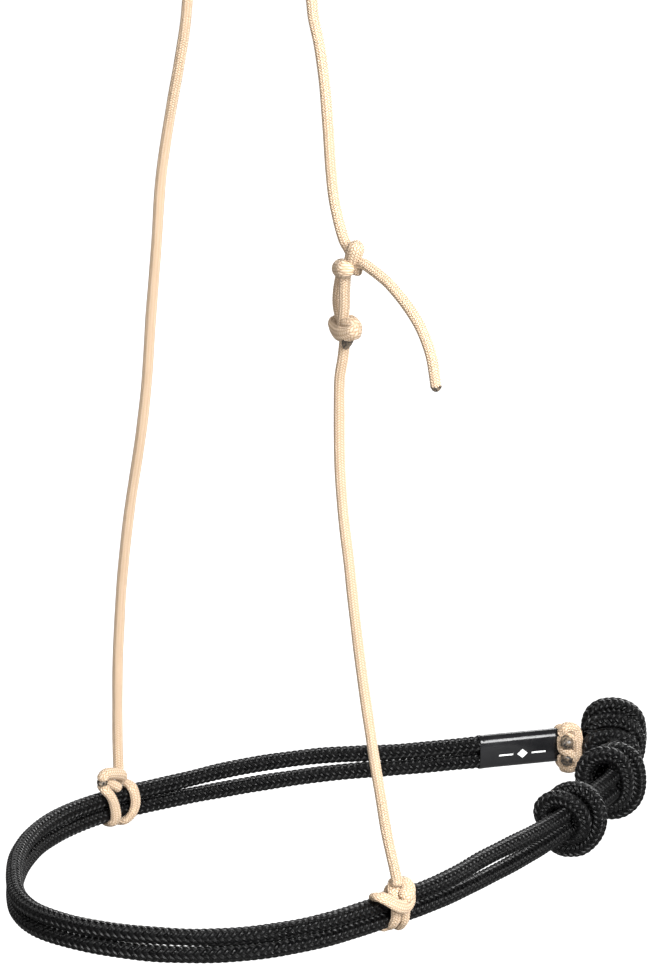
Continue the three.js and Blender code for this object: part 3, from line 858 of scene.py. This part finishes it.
def sleeve_section(radius):
    """Level and upright places of the tube's outline round both strands, with slightly hollow sides."""
    pts = []
    for k in range(SLEEVE_SIDES):
        a = 2 * math.pi * k / SLEEVE_SIDES
        x, y = math.cos(a), math.sin(a)
        hollow = max(0.0, 1 - abs(y) * 1.15)
        up = SLEEVE_HALF * max(-1, min(1, 2.2 * y)) + radius * y
        pts.append([radius * x * (1 - SLEEVE_WAIST * hollow), up])
    return np.array(pts)


def make_sleeve():
    rings = []
    for along, grow in SLEEVE_PROFILE:
        middle, out = pair_at(SLEEVE_START + along)
        section = sleeve_section(SLEEVE_RADIUS + SLEEVE_FLARE * grow)
        rings.append(middle + section[:, :1] * out + section[:, 1:] * UP)
    verts = np.array(rings).reshape(-1, 3)
    quads = tube_quads(len(rings), SLEEVE_SIDES)
    o = mesh_object("shrink_tube_sleeve", verts, quads, None, gloss, "noseband")
    sub = o.modifiers.new("smooth", "SUBSURF")
    sub.levels = 1
    sub.render_levels = 1
    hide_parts("label_sleeve")


def mark(name, corners):
    """A flat white shape on the sleeve's face, from corners given as (along the sleeve, up)."""
    verts = []
    for along, up in corners:
        middle, out = pair_at(SLEEVE_START + along)
        verts.append(tuple((middle - out * MARK_OUT + UP * up) * MM))
    mesh = bpy.data.meshes.new(name)
    mesh.from_pydata(verts, [], [list(range(len(verts)))])
    mesh.materials.append(ink)
    obj = bpy.data.objects.new(name, mesh)
    bpy.context.scene.collection.objects.link(obj)
    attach(obj, "noseband")


def make_marks():
    """A diamond between two bars."""
    mark("mark_diamond", [(18.0, -1.2), (20.6, -3.4), (23.2, -1.2), (20.6, 1.0)])
    mark("mark_bar_left", [(9.0, -1.6), (16.0, -1.6), (16.0, -0.8), (9.0, -0.8)])
    mark("mark_bar_right", [(25.2, -1.6), (32.2, -1.6), (32.2, -0.8), (25.2, -0.8)])


make_sleeve()
make_marks()


# ---------------------------------------------------------------- stage and light

FLOOR_Z = -0.62
FLOOR_HALF = 20.0
FLOOR_GLOW = 0.13  # to the scene
FLOOR_CAMERA_GLOW = 0.95  # more, to the camera only
WORLD_GLOW = 0.05  # to the scene
LIGHT_AIM = (0, 0.05, -0.40)


def make_floor():
    """It glows white to the camera and is dark to the lights, so that it doesn't brighten the rope."""
    material, g, bsdf = new_material("pale_floor", Base_Color=(0.12, 0.12, 0.12, 1), Roughness=0.9,
                                     Specular_IOR_Level=0.1, Emission_Color=(1, 1, 1, 1))
    glow = g.math("ADD", FLOOR_GLOW, g.math("MULTIPLY", g.seen_by_camera(), FLOOR_CAMERA_GLOW))
    g.put(bsdf.inputs["Emission Strength"], glow)
    mesh = bpy.data.meshes.new("floor")
    corners = [(-FLOOR_HALF, -FLOOR_HALF, 0), (FLOOR_HALF, -FLOOR_HALF, 0), (FLOOR_HALF, FLOOR_HALF, 0),
               (-FLOOR_HALF, FLOOR_HALF, 0)]
    mesh.from_pydata(corners, [], [(0, 1, 2, 3)])
    mesh.materials.append(material)
    floor = bpy.data.objects.new("floor", mesh)
    floor.location = (0, 0, FLOOR_Z)
    bpy.context.scene.collection.objects.link(floor)


def make_world():
    """A dim white surround that is bright only to the camera."""
    world = bpy.data.worlds.new("studio")
    world.use_nodes = True
    world.node_tree.nodes.clear()
    g = Graph(world.node_tree)
    back = g.node("ShaderNodeBackground")
    back.inputs["Color"].default_value = (1, 1, 1, 1)
    g.put(back.inputs["Strength"], g.math("ADD", WORLD_GLOW, g.seen_by_camera()))
    g.put(g.node("ShaderNodeOutputWorld").inputs[0], back.outputs[0])
    bpy.context.scene.world = world
    bpy.context.scene.view_settings.view_transform = "Standard"


def softbox(name, direction, distance, width, height, watts):
    """A rectangular light, upright, that faces the middle of the noseband."""
    data = bpy.data.lights.new(name, "AREA")
    data.shape = "RECTANGLE"
    data.size = width
    data.size_y = height
    data.energy = watts
    obj = bpy.data.objects.new(name, data)
    way = Vector(direction).normalized()
    obj.location = Vector(LIGHT_AIM) + way * distance
    obj.rotation_mode = "QUATERNION"
    obj.rotation_quaternion = (-way).to_track_quat("-Z", "Y")
    bpy.context.scene.collection.objects.link(obj)


make_floor()
make_world()
softbox("key", (0.838, -0.119, 0.531), 1.7, 0.9, 1.6, 76)
softbox("front_fill", (0.15, -0.9, 0.4), 2.2, 0.9, 0.9, 22)
softbox("side_fill", (-0.8, 0.35, 0.5), 2.2, 1.2, 1.5, 14)
softbox("back_fill", (-0.42, 0.9, 0.25), 2.2, 1.4, 1.2, 30)
